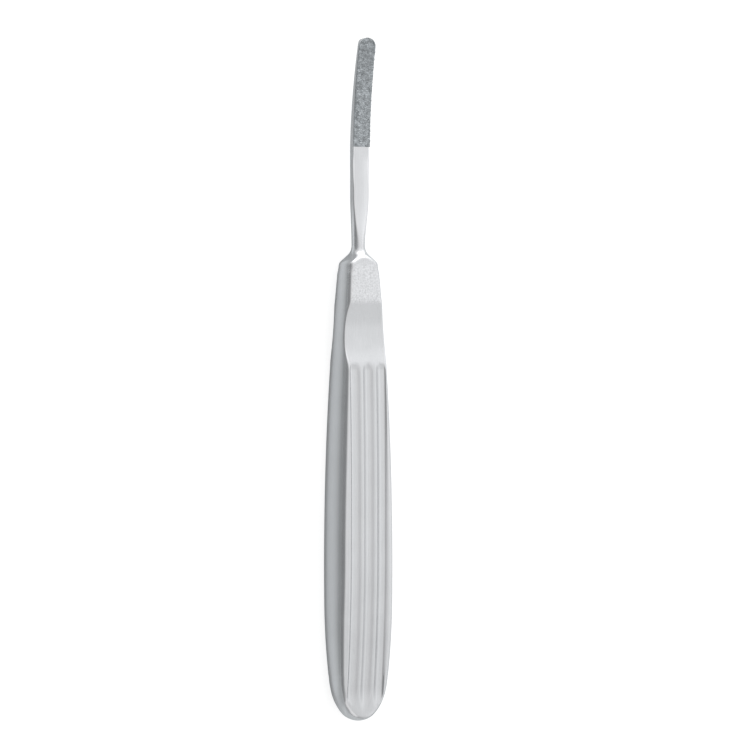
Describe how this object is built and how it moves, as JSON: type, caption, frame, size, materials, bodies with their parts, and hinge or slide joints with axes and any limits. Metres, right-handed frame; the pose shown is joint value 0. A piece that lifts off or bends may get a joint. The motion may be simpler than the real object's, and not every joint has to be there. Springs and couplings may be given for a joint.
{
  "type": "bone file",
  "caption": "Slim steel hand file with a curved grit-coated blade, a thin neck and a flattened fluted handle with hollow thumb rests.",
  "frame": {"origin": "middle of the length and width, at the lowest point of the handle's back", "axes": "+Y from the butt towards the blade's tip, +Z out of the grit-coated face, +X to the right seen from the front"},
  "size_m": [0.0172, 0.175, 0.0108],
  "materials": {
    "steel": "satin glass-beaded stainless steel, finer on the blade",
    "grit": "rough dark grey abrasive grit bonded to steel"
  },
  "bodies": {
    "root": {"file_body": "steel", "grit_coat": "grit"}
  },
  "joints": []
}
